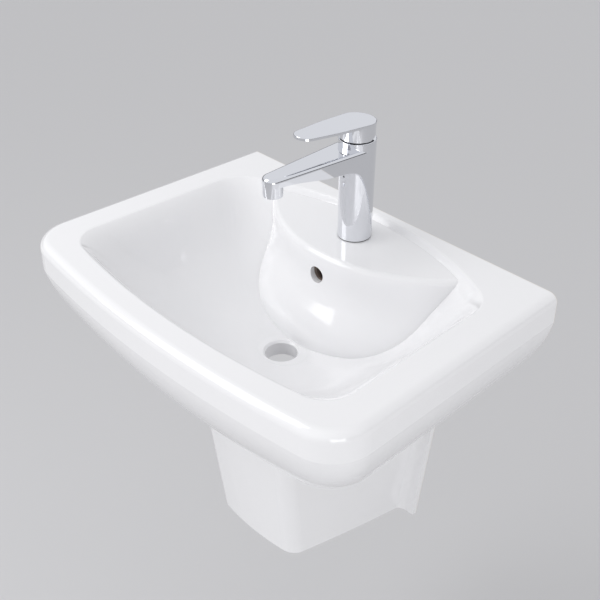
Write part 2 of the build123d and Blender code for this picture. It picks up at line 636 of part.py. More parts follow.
def cartridge_nut():
    low = CART_SHOULDER + CART_SKIN
    shape = ring(CHAMBER_R - SEAT, GUIDE_R + RUN + CART_LIP + SEAT, low, NUT_TOP)
    for angle in (0, 90):
        slot = Pos(0, 0, NUT_TOP) * Rot(0, 0, angle) * Box(NUT_SLOT, 3 * CHAMBER_R, NUT_SLOT)
        shape -= slot
    return TAP * shape


def cartridge_guide():
    low = carrier_low() + CARRIER_PLATE + SEAT
    flange = CHAMBER_R - CART_SKIN - 2 * SEAT
    shape = Pos(0, 0, low) * Cylinder(flange, CART_SHOULDER - RUN - low, align=UP)
    shape += Pos(0, 0, low) * Cylinder(GUIDE_R, GUIDE_TOP - low, align=UP)
    reach = STEM_ARM * math.sin(math.radians(LIFT_LIMIT))
    neck = CARRIER_NECK / 2
    run_front = neck + reach + 3 * SEAT
    run_back = neck + 3 * SEAT
    slot_size = (CARRIER_NECK + 2 * RUN, run_front + run_back, CARRIER_TOP + 1 - low)
    shape -= Pos(0, (run_back - run_front) / 2, low) * Box(*slot_size, align=UP)
    swing = (2 * (STEM_R + RUN), 2 * STEM_SWING, GUIDE_TOP)
    shape -= Pos(0, 0, CARRIER_TOP) * Box(*swing, align=UP)
    shape -= Pos(0, 0, PIVOT_Z) * Rot(0, 90, 0) * Cylinder(PIVOT_PIN_R + RUN, 3 * GUIDE_R)
    return TAP * shape


def pivot_pin():
    return TAP * Pos(0, 0, PIVOT_Z) * Rot(0, 90, 0) * Cylinder(PIVOT_PIN_R, 2 * (GUIDE_R - 3 * SEAT))


def cartridge_stem():
    low = PIVOT_Z - STEM_BLOCK
    shape = Pos(0, 0, low) * Cylinder(STEM_R, STEM_SQUARE_START - low, align=UP)
    square_height = STEM_TOP - STEM_SQUARE_START
    shape += Pos(0, 0, STEM_SQUARE_START) * Box(STEM_SQUARE, STEM_SQUARE, square_height, align=UP)
    shape += Pos(0, 0, PIVOT_Z - STEM_ARM) * Cylinder(STEM_ARM_R, STEM_ARM, align=UP)
    shape += Pos(0, 0, PIVOT_Z - STEM_ARM) * Sphere(STEM_BALL_R)
    shape -= Pos(0, 0, PIVOT_Z) * Rot(0, 90, 0) * Cylinder(PIVOT_PIN_R + RUN, 3 * STEM_R)
    return TAP * shape


def cartridge_dome():
    wall = CHAMBER_R - SEAT
    shape = Pos(0, 0, NUT_TOP) * Cylinder(wall, TAP_SHOULDER - NUT_TOP, align=UP)
    ball = Pos(0, 0, PIVOT_Z) * Sphere(DOME_R)
    cap = Pos(0, 0, TAP_SHOULDER) * Cylinder(wall, DOME_R, align=UP)
    shape += ball & cap
    inside = Pos(0, 0, NUT_TOP) * Cylinder(wall - DOME_SHEET, TAP_SHOULDER - NUT_TOP, align=UP)
    inner_ball = Pos(0, 0, PIVOT_Z) * Sphere(DOME_R - DOME_SHEET)
    shape -= inside
    shape -= inner_ball & Pos(0, 0, TAP_SHOULDER - 1) * Cylinder(wall - DOME_SHEET, DOME_R, align=UP)
    shape -= Pos(0, 0, PIVOT_Z) * Cylinder(DOME_MOUTH_R, 2 * DOME_R, align=UP)
    return TAP * shape


def lever():
    low = TAP_SHOULDER + LEVER_GAP
    tilt = Pos(0, 0, LEVER_TOP) * Rot(-LEVER_PITCH, 0, 0)
    circles = [(0, LEVER_REAR_R), (-LEVER_MID, LEVER_MID_R), (-LEVER_REACH, LEVER_TIP_R)]
    rims = ShapeList()
    for y, radius in circles:
        rims += (Pos(0, y) * Circle(radius)).edges()
    plate = extrude(make_hull(rims), -LEVER_THICK)
    plate = fillet(plate.edges().group_by(Axis.Z)[-1], LEVER_EDGE_R)
    hub = Pos(0, 0, low) * Cylinder(LEVER_HUB_R, LEVER_TOP - low, align=UP)
    above = tilt * Pos(0, 0, -LEVER_THICK / 2) * Box(9 * LEVER_HUB_R, 9 * LEVER_HUB_R, LEVER_TOP, align=UP)
    shape = (hub - above) + tilt * plate
    rise = math.tan(math.radians(LIFT_LIMIT))
    back = 2 * LEVER_HUB_R
    corners = [(0, low), (back, low + back * rise), (back, low - 1), (0, low - 1)]
    relief = make_face(Polyline(*corners, close=True))
    shape -= extrude(Plane.YZ * relief, 2 * LEVER_HUB_R, both=True)
    shape -= Pos(0, 0, PIVOT_Z) * Sphere(LEVER_SOCKET_R)
    square = STEM_SQUARE + 2 * SEAT
    shape -= Pos(0, 0, PIVOT_Z) * Box(square, square, STEM_TOP + 0.5 - PIVOT_Z, align=UP)
    bore = Pos(0, 0, GRUB_Z) * Rot(-90, 0, 0)
    shape -= bore * Cylinder(GRUB_R + RUN, 2 * LEVER_HUB_R, align=UP)
    start = LEVER_HUB_R - PLUG_LENGTH
    shape -= Pos(0, start, GRUB_Z) * Rot(-90, 0, 0) * Cylinder(PLUG_R + RUN, LEVER_HUB_R, align=UP)
    return TAP * shape


def lever_grub_screw():
    start = STEM_SQUARE / 2
    shape = Pos(0, start, GRUB_Z) * Rot(-90, 0, 0) * Cylinder(GRUB_R, GRUB_LENGTH, align=UP)
    socket = extrude(RegularPolygon(GRUB_HEX / 2, 6, major_radius=False), GRUB_HEX)
    return TAP * (shape - Pos(0, start + GRUB_LENGTH - GRUB_HEX, GRUB_Z) * Rot(-90, 0, 0) * socket)


def lever_index_plug():
    start = LEVER_HUB_R - PLUG_LENGTH + RUN
    return TAP * Pos(0, start, GRUB_Z) * Rot(-90, 0, 0) * Cylinder(PLUG_R, PLUG_LENGTH - 4 * RUN, align=UP)


def aerator_housing():
    top = OUTLET_BORE_TOP - AERATOR_SEAL
    low = OUTLET_BOTTOM - AERATOR_COLLAR
    shape = ring(OUTLET_BORE_R - RUN, AERATOR_BORE_R, OUTLET_BOTTOM - RUN, top)
    shape += ring(AERATOR_COLLAR_R, AERATOR_BORE_R, low, OUTLET_BOTTOM - RUN)
    shape += ring(AERATOR_BORE_R + 1, AERATOR_BORE_R - AERATOR_LIP, low, low + AERATOR_LIP)
    return TAP * Pos(0, -SPOUT_REACH, 0) * shape


def aerator_insert():
    low = OUTLET_BOTTOM - AERATOR_COLLAR + AERATOR_LIP
    shape = Pos(0, 0, low) * Cylinder(AERATOR_BORE_R - RUN, AERATOR_INSERT, align=UP)
    holes = PolarLocations(AERATOR_BORE_R * 0.6, 8)
    shape -= Pos(0, 0, low) * holes * Cylinder(AERATOR_HOLE_R, AERATOR_INSERT, align=UP)
    shape -= Pos(0, 0, low) * Cylinder(AERATOR_HOLE_R, AERATOR_INSERT, align=UP)
    return TAP * Pos(0, -SPOUT_REACH, 0) * shape


def aerator_seal():
    top = OUTLET_BORE_TOP
    seal = ring(OUTLET_BORE_R - SEAT, AERATOR_BORE_R - 1, top - AERATOR_SEAL, top)
    return TAP * Pos(0, -SPOUT_REACH, 0) * seal


PIECES = {
    "basin": basin,
    "half_pedestal": half_pedestal,
    "tap_body": tap_body,
    "tap_base_gasket": tap_base_gasket,
    "tap_stud": tap_stud,
    "rubber_washer": rubber_washer,
    "horseshoe_plate": horseshoe_plate,
    "stud_nut": stud_nut,
    "cartridge_base": cartridge_base,
    "inlet_seals": inlet_seals,
    "fixed_disc": fixed_disc,
    "moving_disc": moving_disc,
    "disc_carrier": disc_carrier,
    "cartridge_body": cartridge_body,
    "guide_seal": guide_seal,
    "cartridge_nut": cartridge_nut,
    "cartridge_guide": cartridge_guide,
    "pivot_pin": pivot_pin,
    "cartridge_stem": cartridge_stem,
    "cartridge_dome": cartridge_dome,
    "lever": lever,
    "lever_grub_screw": lever_grub_screw,
    "lever_index_plug": lever_index_plug,
    "aerator_housing": aerator_housing,
    "aerator_insert": aerator_insert,
    "aerator_seal": aerator_seal,
}


def main():
    os.makedirs("parts", exist_ok=True)
    for name, build in PIECES.items():
        shape = build()
        export_step(shape, f"parts/{name}.step")


main()
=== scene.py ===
"""Looks of the wall-hung basin with half pedestal and mixer tap, as a Blender add-on.

The solids come from the CAD frame, and this script gives them their finishes. It makes the
threaded stud, the chamfered nut and the aerator's screen in place of plain solids, adds the duct
behind the overflow and the small hole in the front of the tap, and sets up the floor, the lamps
and the camera. Lengths are in metres.
"""

import math
from collections import namedtuple

import bpy
import numpy as np
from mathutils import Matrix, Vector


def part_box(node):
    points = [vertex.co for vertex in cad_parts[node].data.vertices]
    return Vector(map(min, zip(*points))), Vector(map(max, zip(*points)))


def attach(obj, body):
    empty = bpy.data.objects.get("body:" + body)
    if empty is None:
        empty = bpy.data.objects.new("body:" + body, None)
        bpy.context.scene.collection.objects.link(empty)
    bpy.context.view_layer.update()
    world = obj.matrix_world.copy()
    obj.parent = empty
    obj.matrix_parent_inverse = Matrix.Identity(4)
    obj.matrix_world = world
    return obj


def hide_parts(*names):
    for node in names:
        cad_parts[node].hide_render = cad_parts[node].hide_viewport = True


bl_info = {
    "name": "Basin and half pedestal",
    "version": (1, 1, 0),
    "blender": (4, 5, 0),
    "location": "3D View > Sidebar > Basin",
    "description": "Finishes and small parts of a wall-hung basin with half pedestal and mixer tap",
    "category": "Object",
}

CHROME_NODES = ("tap_body", "lever", "cartridge_dome", "aerator_housing")
STEEL_NODES = ("horseshoe_plate", "pivot_pin", "cartridge_stem", "lever_grub_screw")
RUBBER_NODES = ("tap_base_gasket", "rubber_washer", "inlet_seals", "guide_seal", "aerator_seal")
DISC_NODES = ("fixed_disc", "moving_disc")
NYLON_NODES = ("cartridge_base", "cartridge_body", "cartridge_guide", "disc_carrier")

# y and z of the points that steer the overflow's duct along the bowl to the drain
DUCT_POINTS = ((-0.127, -0.020), (-0.156, -0.062), (-0.182, -0.0705))
DUCT_FOOT = 0.6  # radius at the duct's foot, as a share of that at its mouth
DUCT_SETBACK = 0.004  # from the face where the glaze ends to the duct's mouth

# stage: places of the lamps and the camera, the spots they face, and angles in degrees
KEY_SPOT, KEY_TARGET, KEY_ANGLE = (-1.5, -1.2, 2.4), (0.0, -0.2, 0.0), 28.0
FILL_SPOT, SIDE_SPOT, LAMP_TARGET = (-0.9, -1.5, 0.9), (1.9, -1.4, -0.1), (0.0, -0.15, 0.0)
LAMP_SIZE = 1.0
FLOOR_ROUGHNESS = 0.8
CAMERA_SPOT, CAMERA_TURN = (0.8764, -0.9968, 0.8087), (56.45, 0.0, 46.861)
CAMERA_SENSOR, CAMERA_LENS = 36.0, 61.38  # in millimetres

Extent = namedtuple("Extent", "middle half low high")
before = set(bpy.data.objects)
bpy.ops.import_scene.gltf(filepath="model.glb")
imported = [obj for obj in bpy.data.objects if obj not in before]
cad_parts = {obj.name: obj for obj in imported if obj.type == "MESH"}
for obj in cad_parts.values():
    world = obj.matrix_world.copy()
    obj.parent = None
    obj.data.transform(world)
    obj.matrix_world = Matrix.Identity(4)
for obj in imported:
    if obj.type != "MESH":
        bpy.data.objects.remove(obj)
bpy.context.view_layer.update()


# ---------------------------------------------------------------- properties
class FinishSettings(bpy.types.PropertyGroup):
    """Colours and gloss of the glaze, the clay and the chrome"""

    glaze_colour: bpy.props.FloatVectorProperty(
        name="Glaze",
        description="Colour of the ceramic glaze",
        subtype="COLOR", size=3, default=(0.90, 0.90, 0.912),
    )
    glaze_roughness: bpy.props.FloatProperty(
        name="Glaze roughness",
        description="Roughness of the glaze",
        default=0.09, min=0.0, max=1.0, subtype="FACTOR",
    )
    bisque_colour: bpy.props.FloatVectorProperty(
        name="Bare clay",
        description="Colour of the unglazed clay",
        subtype="COLOR", size=3, default=(0.72, 0.68, 0.62),
    )
    # painted shade: clay colour for inside the overflow, far darker than the bare clay, standing in
    # for shade in the hole and the duct
    overflow_painted_shade: bpy.props.FloatVectorProperty(
        name="Overflow",
        description="Colour inside the overflow",
        subtype="COLOR", size=3, default=(0.20, 0.15, 0.125),
    )
    chrome_colour: bpy.props.FloatVectorProperty(
        name="Chrome",
        description="Colour of the chrome plate",
        subtype="COLOR", size=3, default=(0.80, 0.81, 0.84),
    )
    chrome_roughness: bpy.props.FloatProperty(
        name="Chrome roughness",
        description="Roughness of the chrome plate",
        default=0.03, min=0.0, max=1.0, subtype="FACTOR",
    )


class BasinSettings(bpy.types.PropertyGroup):
    """Sizes of the overflow, as the solid basin has them"""

    overflow_drop: bpy.props.FloatProperty(
        name="Overflow drop",
        description="Rim to the middle of the overflow",
        default=0.044, unit="LENGTH",
    )
    overflow_radius: bpy.props.FloatProperty(
        name="Overflow radius",
        description="Radius of the overflow hole",
        default=0.0125, unit="LENGTH",
    )
    overflow_lip: bpy.props.FloatProperty(
        name="Overflow lip",
        description="Wall to the depth where the glaze ends",
        default=0.136, unit="LENGTH",
    )
    duct_wall: bpy.props.FloatProperty(
        name="Duct wall",
        description="Thickness of the overflow duct",
        default=0.003, unit="LENGTH",
    )


class TapSettings(bpy.types.PropertyGroup):
    """Sizes of the tap's small parts"""

    thread_pitch: bpy.props.FloatProperty(
        name="Thread pitch",
        description="Pitch of the stud's thread",
        default=0.00125, unit="LENGTH",
    )
    nut_chamfer: bpy.props.FloatProperty(
        name="Nut chamfer",
        description="Height of the chamfer at the nut's corners",
        default=0.0011, unit="LENGTH",
    )
    screen_pitch: bpy.props.FloatProperty(
        name="Screen pitch",
        description="Spacing of the wires of the aerator's screen",
        default=0.0011, unit="LENGTH",
    )
    hole_height: bpy.props.FloatProperty(
        name="Hole height",
        description="Height of the small front hole above the tap's base",
        default=0.0985, unit="LENGTH",
    )
    hole_radius: bpy.props.FloatProperty(
        name="Hole radius",
        description="Radius of the small front hole",
        default=0.0015, unit="LENGTH",
    )


class StageSettings(bpy.types.PropertyGroup):
    """Floor, lamps and surroundings"""

    floor_height: bpy.props.FloatProperty(
        name="Floor",
        description="Height of the floor below the wall bolts",
        default=-0.765, unit="LENGTH",
    )
    floor_size: bpy.props.FloatProperty(
        name="Floor size",
        description="Side of the square floor",
        default=60.0, unit="LENGTH",
    )
    floor_colour: bpy.props.FloatVectorProperty(
        name="Floor colour",
        description="Colour of the floor",
        subtype="COLOR", size=3, default=(0.60, 0.60, 0.61),
    )
    key_strength: bpy.props.FloatProperty(
        name="Key",
        description="Strength of the key light",
        default=0.42,
    )
    fill_power: bpy.props.FloatProperty(
        name="Fill",
        description="Power of the low lamp on the left",
        default=8.0, unit="POWER",
    )
    side_power: bpy.props.FloatProperty(
        name="Side",
        description="Power of the low lamp on the right",
        default=9.0, unit="POWER",
    )
    world_strength: bpy.props.FloatProperty(
        name="World",
        description="Strength of the surrounding light",
        default=0.74, min=0.0, max=2.0,
    )
    backdrop_colour: bpy.props.FloatVectorProperty(
        name="Backdrop",
        description="Colour seen past the floor",
        subtype="COLOR", size=3, default=(0.63, 0.63, 0.64),
    )


# ---------------------------------------------------------------- shader arithmetic
class Val:
    """A shader value that ordinary operators add, subtract, multiply and raise to a power."""

    def __init__(self, tree, socket):
        self.tree = tree
        self.socket = socket

    @staticmethod
    def node(tree, kind, values, settings=None, output=0):
        """New node: its settings first, then its sockets by name or number; returns one output."""
        item = tree.nodes.new(kind)
        for key, value in (settings or {}).items():
            setattr(item, key, value)
        for key, value in values.items():
            if isinstance(value, Val):
                tree.links.new(value.socket, item.inputs[key])
            else:
                item.inputs[key].default_value = value
        return Val(tree, item.outputs[output])

    def _math(self, operation, first, second):
        values = {0: first, 1: second}
        return Val.node(self.tree, "ShaderNodeMath", values, {"operation": operation})

    def __add__(self, other):
        return self._math("ADD", self, other)

    def __radd__(self, other):
        return self._math("ADD", other, self)

    def __sub__(self, other):
        return self._math("SUBTRACT", self, other)

    def __rsub__(self, other):
        return self._math("SUBTRACT", other, self)

    def __mul__(self, other):
        return self._math("MULTIPLY", self, other)

    def __rmul__(self, other):
        return self._math("MULTIPLY", other, self)

    def __pow__(self, other):
        return self._math("POWER", self, other)

    def larger(self, other):
        return self._math("MAXIMUM", self, other)

    def step(self, low, high):
        """Smooth step: 0 below low, 1 above high."""
        values = {"Value": self, "From Min": low, "From Max": high}
        settings = {"interpolation_type": "SMOOTHSTEP"}
        return Val.node(self.tree, "ShaderNodeMapRange", values, settings)

    def blend(self, first, second):
        """Mixes two colours by this value."""
        values = {0: self, 6: first, 7: second}
        return Val.node(self.tree, "ShaderNodeMix", values, {"data_type": "RGBA"}, 2)

    def feed(self, shader, name):
        """Links this value to a shader's socket."""
        self.tree.links.new(self.socket, shader.inputs[name])


def solid(colour):
    """A colour with full alpha."""
    return (*colour, 1.0)


def axes(tree, kind):
    """One kind of texture coordinates, as three values."""
    spot = Val.node(tree, "ShaderNodeTexCoord", {}, output=kind)
    split = (Val.node(tree, "ShaderNodeSeparateXYZ", {0: spot}, output=index) for index in range(3))
    return tuple(split)


def ray(tree, kind):
    """1 for one kind of ray, 0 for the others."""
    return Val.node(tree, "ShaderNodeLightPath", {}, output=kind)


def noise(tree, scale, detail):
    """Noise in object coordinates, about 0 to 1."""
    spot = Val.node(tree, "ShaderNodeTexCoord", {}, output="Object")
    return Val.node(tree, "ShaderNodeTexNoise", {"Vector": spot, "Scale": scale, "Detail": detail})


def bump(height, distance):
    """Normal of a surface raised by a value times a distance."""
    values = {"Height": height, "Distance": distance, "Strength": 1.0}
    return Val.node(height.tree, "ShaderNodeBump", values, output="Normal")


def principled(name):
    """New material, its node tree and its shader."""
    material = bpy.data.materials.new(name)
    material.use_nodes = True
    return material, material.node_tree, material.node_tree.nodes["Principled BSDF"]


# ---------------------------------------------------------------- finishes
def glaze(name, setting, bare, inside=None):
    """Glazed china, faintly clouded. bare(x, y, z) is 1 on unglazed clay, and inside(x, y, z) is
    1 in the overflow, where the clay gets a dark speckled colour: painted shade in the hole."""
    lighter, haze, coat = 1.012, 0.03, 0.5
    # the third value is the lighter fleck in the overflow's painted shade
    clay_roughness, duct_roughness, painted_shade_speckle = 0.7, 0.6, (0.36, 0.29, 0.25)
    material, tree, shader = principled(name)
    spot = axes(tree, "Object")
    cloud = noise(tree, scale=7.0, detail=3.0)
    clay = bare(*spot)
    pale = tuple(min(1.0, value * lighter) for value in setting.glaze_colour)
    china = cloud.blend(solid(setting.glaze_colour), solid(pale))
    colour = clay.blend(china, solid(setting.bisque_colour))
    rough = (setting.glaze_roughness + haze * cloud) * (1 - clay) + clay_roughness * clay
    if inside:
        # painted shade: the overflow's mouth gets dark speckled clay in place of the glaze,
        # standing in for its shading
        depth = inside(*spot)
        speckle = noise(tree, scale=420.0, detail=4.0)
        dark = speckle.blend(solid(setting.overflow_painted_shade), solid(painted_shade_speckle))
        colour = depth.blend(colour, dark)
        rough = rough * (1 - depth) + duct_roughness * depth
        clay = clay.larger(depth)
    colour.feed(shader, "Base Color")
    rough.feed(shader, "Roughness")
    (coat * (1 - clay)).feed(shader, "Coat Weight")
    shader.inputs["Coat Roughness"].default_value = 0.03
    ripple = noise(tree, scale=90.0, detail=1.0)
    grit = noise(tree, scale=1400.0, detail=4.0)
    bump(ripple * (1 - clay) + grit * clay, distance=0.00003).feed(shader, "Normal")
    return material


def metal(name, colour, roughness, spread, grain, stain=0.0, peel=0.0):
    """Plated or machined metal. Hazy patches change its roughness by up to spread each way, its
    colour by the share stain, and its surface by the height peel; grain is their scale."""
    finer = 14.0
    material, tree, shader = principled(name)
    shader.inputs["Metallic"].default_value = 1.0
    patch = noise(tree, scale=grain, detail=4.0)
    fine = noise(tree, scale=grain * finer, detail=2.0).step(0.2, 0.8)
    (roughness - spread + 2 * spread * patch * fine).feed(shader, "Roughness")
    if stain:
        dull = tuple(value * (1 - stain) for value in colour)
        patch.step(0.35, 0.75).blend(solid(colour), solid(dull)).feed(shader, "Base Color")
    else:
        shader.inputs["Base Color"].default_value = solid(colour)
    if peel:
        bump(patch, peel).feed(shader, "Normal")
    return material


def moulded(name, colour, roughness, grain, depth):
    """Rubber, plastic or lapped ceramic. A grain of one scale darkens it, makes its roughness
    uneven and gives it a texture of that depth."""
    darker, uneven = 0.88, 0.05
    material, tree, shader = principled(name)
    speck = noise(tree, scale=grain, detail=3.0)
    tint = tuple(value * darker for value in colour)
    speck.step(0.3, 0.7).blend(solid(tint), solid(colour)).feed(shader, "Base Color")
    (roughness - uneven + 2 * uneven * speck).feed(shader, "Roughness")
    bump(speck, depth).feed(shader, "Normal")
    return material


def screen_wire(name):
    """Stainless wire cloth, unevenly worn."""
    dull, bright = (0.30, 0.31, 0.33), (0.52, 0.53, 0.56)
    roughness, wear = 0.25, 0.2
    material, tree, shader = principled(name)
    shader.inputs["Metallic"].default_value = 0.9
    worn = noise(tree, scale=900.0, detail=3.0)
    worn.blend(solid(dull), solid(bright)).feed(shader, "Base Color")
    (roughness + wear * worn).feed(shader, "Roughness")
    return material


def dress(names, material):
    """Gives CAD nodes a finish."""
    for name in names:
        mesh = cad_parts[name].data
        mesh.materials.clear()
        mesh.materials.append(material)


# ---------------------------------------------------------------- surfaces
def surface(name, points, material, ring):
    """Mesh of a grid of points, shape (rows, columns, 3). Each row closes on itself. The last row
    joins the first if ring is true, and otherwise a point in the middle of each end closes it."""
    rows, columns = points.shape[:2]
    index = np.arange(rows * columns).reshape(rows, columns)
    upper = np.roll(index, -1, axis=0) if ring else index[1:]
    lower = index if ring else index[:-1]
    corners = [lower, np.roll(lower, -1, axis=1), np.roll(upper, -1, axis=1), upper]
    quads = np.stack(corners, axis=-1)
    vertices = points.reshape(-1, 3)
    faces = quads.reshape(-1, 4).tolist()
    if not ring:
        ends = np.stack([points[0].mean(axis=0), points[-1].mean(axis=0)])
        first = len(vertices)
        vertices = np.vstack([vertices, ends])
        bottom = np.stack([np.roll(index[0], -1), index[0], np.full(columns, first)], axis=-1)
        top = np.stack([index[-1], np.roll(index[-1], -1), np.full(columns, first + 1)], axis=-1)
        faces += bottom.tolist() + top.tolist()
    mesh = bpy.data.meshes.new(name)
    mesh.from_pydata(vertices.tolist(), [], faces)
    mesh.materials.append(material)
    mesh.update()
    item = bpy.data.objects.new(name, mesh)
    bpy.context.collection.objects.link(item)
    return item


def two_finishes(item, rows, columns, first, second):
    """Gives the faces of the first rows of a surface one material, and the rest another."""
    mesh = item.data
    mesh.materials.clear()
    mesh.materials.append(first)
    mesh.materials.append(second)
    index = np.ones(len(mesh.polygons), dtype=np.int32)
    index[: rows * columns] = 0
    mesh.polygons.foreach_set("material_index", index)
    mesh.update()


def node_box(name):
    """Middle, half widths and height limits of a CAD node."""
    low, high = (np.array(corner, dtype=float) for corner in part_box(name))
    return Extent((low + high) / 2, (high - low) / 2, low[2], high[2])


def circle(columns, way=1):
    """Evenly spaced angles round a circle, as one row; a way of -1 goes round clockwise."""
    return np.linspace(0, way * 2 * np.pi, columns, endpoint=False)[None, :]


def threaded_rod(name, box, pitch, material):
    """Right-handed metric thread. The radius is the rod's, less the thread's depth times a
    triangle wave of (height / pitch - angle / full turn) with its tips cut flat, which fades out
    at both ends."""
    columns, rows_per_turn = 40, 10
    depth = 0.61 * pitch
    steepness, root = 1.3, 0.1  # of the wave, so that its crests and roots come out flat
    rows = int((box.high - box.low) / pitch * rows_per_turn)
    angle = circle(columns)
    height = np.linspace(box.low, box.high, rows)[:, None]
    phase = (height / pitch - angle / (2 * np.pi)) % 1.0
    wave = np.clip(steepness * (1 - np.abs(2 * phase - 1)) - root, 0.0, 1.0)
    lead = np.clip(np.minimum(height - box.low, box.high - height) / pitch, 0.0, 1.0)
    reach = box.half[0] - depth * (1 - lead * wave)
    x = box.middle[0] + reach * np.cos(angle)
    y = box.middle[1] + reach * np.sin(angle)
    return surface(name, np.stack([x, y, height + 0 * angle], axis=-1), material, ring=False)


def chamfered_nut(name, box, bore, chamfer, material):
    """Hexagon nut with two corners along x. Its outline at an angle is the hexagon's, cut down
    near both faces to a cone that starts at the flats. The section runs up the outside and down
    the bore, which widens to a lip at both faces."""
    columns, steps = 144, 7
    start, swell = 0.97, 0.8  # the cone's first radius, in flats, and the power by which it opens
    lip, lip_depth = 1.08 * bore, 0.0004
    tall = box.high - box.low
    flat = min(box.half[0], box.half[1])
    corner = flat / math.cos(math.pi / 6)
    angle = circle(columns)
    hexagon = flat / np.cos(angle % (np.pi / 3) - np.pi / 6)
    rise = np.linspace(0.0, 1.0, steps)
    lift = np.concatenate([chamfer * rise, tall - chamfer * rise[::-1]])
    edge = np.minimum(lift, tall - lift) / chamfer
    cone = flat * start + (corner - flat * start) * np.clip(edge, 0, 1) ** swell
    outside = np.minimum(hexagon, cone[:, None])
    inside = np.repeat(np.array([[lip], [bore], [bore], [lip]]), columns, axis=1)
    radii = np.vstack([outside, inside])
    down = [box.high, box.high - lip_depth, box.low + lip_depth, box.low]
    heights = np.concatenate([box.low + lift, down])
    x = box.middle[0] + radii * np.cos(angle)
    y = box.middle[1] + radii * np.sin(angle)
    z = np.repeat(heights[:, None], columns, axis=1)
    return surface(name, np.stack([x, y, z], axis=-1), material, ring=True)


def wire_screen(name, box, pitch, material):
    """Woven screen over a core. Its face dips between wires by the product of two cosine
    waves, one for each way of the weave; the sides and the back are plain."""
    columns, rings = 96, 40
    face_height, wave_height = 0.00025, 0.00022
    share = np.linspace(0.0, 1.0, rings)[1:]
    angle = circle(columns)
    reach = box.half[0] * share[:, None]
    x = reach * np.cos(angle)
    y = reach * np.sin(angle)
    weave = np.cos(2 * np.pi * x / pitch) * np.cos(2 * np.pi * y / pitch)
    face = box.low + face_height + wave_height * weave
    back = np.full((1, columns), box.high)
    x = np.vstack([x, x[-1:]]) + box.middle[0]
    y = np.vstack([y, y[-1:]]) + box.middle[1]
    z = np.vstack([face, back])
    return surface(name, np.stack([x, y, z], axis=-1), material, ring=False)


def overflow_duct(name, mouth, radius, wall, outside, inside):
    """Duct from the overflow down to the drain, in the plane x = 0. Its centre line turns back and
    down by a quarter circle and then follows a cubic curve, the sum of four points weighted by
    the powers of the way along it. The section is a circle in the plane of x and the line's
    normal, which shrinks steadily to the foot: the rows go down the inside of the wall and come
    back up the outside."""
    columns, bend_steps, curve_steps = 32, 12, 25
    bend = radius + wall
    turn = np.linspace(0.0, math.pi / 2, bend_steps)
    arc = np.stack([mouth[0] + bend * np.sin(turn), mouth[1] - bend * (1 - np.cos(turn))], axis=-1)
    along = np.linspace(0.0, 1.0, curve_steps)[1:, None]
    back = 1 - along
    first, second, last = (np.array(spot) for spot in DUCT_POINTS)
    upper = back**3 * arc[-1] + 3 * back**2 * along * first
    lower = 3 * back * along**2 * second + along**3 * last
    path = np.vstack([arc, upper + lower])
    shrink = np.linspace(1.0, DUCT_FOOT, len(path))[:, None]
    tangent = np.gradient(path, axis=0)
    tangent /= np.linalg.norm(tangent, axis=1)[:, None]
    normal = np.stack([-tangent[:, 1], tangent[:, 0]], axis=-1)
    angle = circle(columns)

    def shell(distance):
        reach = distance * shrink
        y = path[:, :1] + reach * np.sin(angle) * normal[:, :1]
        z = path[:, 1:] + reach * np.sin(angle) * normal[:, 1:]
        return np.stack([reach * np.cos(angle), y, z], axis=-1)

    rows = np.concatenate([shell(radius), shell(radius + wall)[::-1]])
    item = surface(name, rows, outside, ring=True)
    # the inner rows take the inside finish, which carries the painted shade
    two_finishes(item, len(path), columns, inside, outside)
    return item


def drilled_spot(name, centre, radius, dark, bright):
    """Small drilled hole in the front of the tap, facing -y, drawn as a shallow dish whose
    near-black finish is painted shade for the hole's depth. Across its radius the surface is a
    shallow dish, whose height grows with the square of the radius, then a narrow bright rim that
    turns back into the body."""
    columns, steps = 28, 6
    dish, middle = 0.00025, 0.4  # the dish's height at its edge, and the share left in its middle
    rim, rim_height, root = 1.2, 0.7, -4.0  # the first in radii, the others in heights of the dish
    share = np.linspace(0.0, 1.0, steps)[1:]
    reach = radius * np.concatenate([share, [rim, rim]])[:, None]
    lift = dish * np.concatenate([middle + (1 - middle) * share**2, [rim_height, root]])[:, None]
    angle = circle(columns, way=-1)
    x = centre[0] + reach * np.cos(angle)
    z = centre[2] + reach * np.sin(angle)
    y = centre[1] - lift + 0 * angle
    item = surface(name, np.stack([x, y, z], axis=-1), dark, ring=False)
    two_finishes(item, len(share) - 1, columns, dark, bright)
    return item


# ---------------------------------------------------------------- operators
class BASIN_OT_ceramic(bpy.types.Operator):
    """Glazes the basin and the half pedestal, and leaves their hidden faces bare"""

    bl_idname = "basin.ceramic"
    bl_label = "Glaze the ceramic"

    def execute(self, context):
        setting = context.scene.basin_finish
        size = context.scene.basin_size
        box = node_box("basin")
        axis_z = box.high - size.overflow_drop
        radius, lip = size.overflow_radius, -size.overflow_lip
        glaze_start, glaze_full = 0.0004, 0.0012
        edge, duct_start, duct_full = 0.0006, 0.012, 0.016

        def hidden(value, face):
            """1 where a coordinate reaches the face that it grows towards."""
            return value.step(face - glaze_full, face - glaze_start)

        def basin_bare(x, y, z):
            return hidden(y, 0.0).larger(hidden(-1 * z, -box.low))

        # mask of the overflow's mouth, where the basin's glaze takes the painted shade
        def overflow(x, y, z):
            away = (x * x + (z - axis_z) * (z - axis_z)) ** 0.5
            near = 1 - away.step(radius + edge, radius + 2 * edge)
            past_lip = y.step(lip - edge, lip + edge)
            return near * past_lip * (1 - y.step(lip + duct_start, lip + duct_full))

        def pedestal_bare(x, y, z):
            return hidden(y, 0.0)

        dress(("basin",), glaze("basin_glaze", setting, basin_bare, overflow))
        dress(("half_pedestal",), glaze("pedestal_glaze", setting, pedestal_bare))
        return {"FINISHED"}


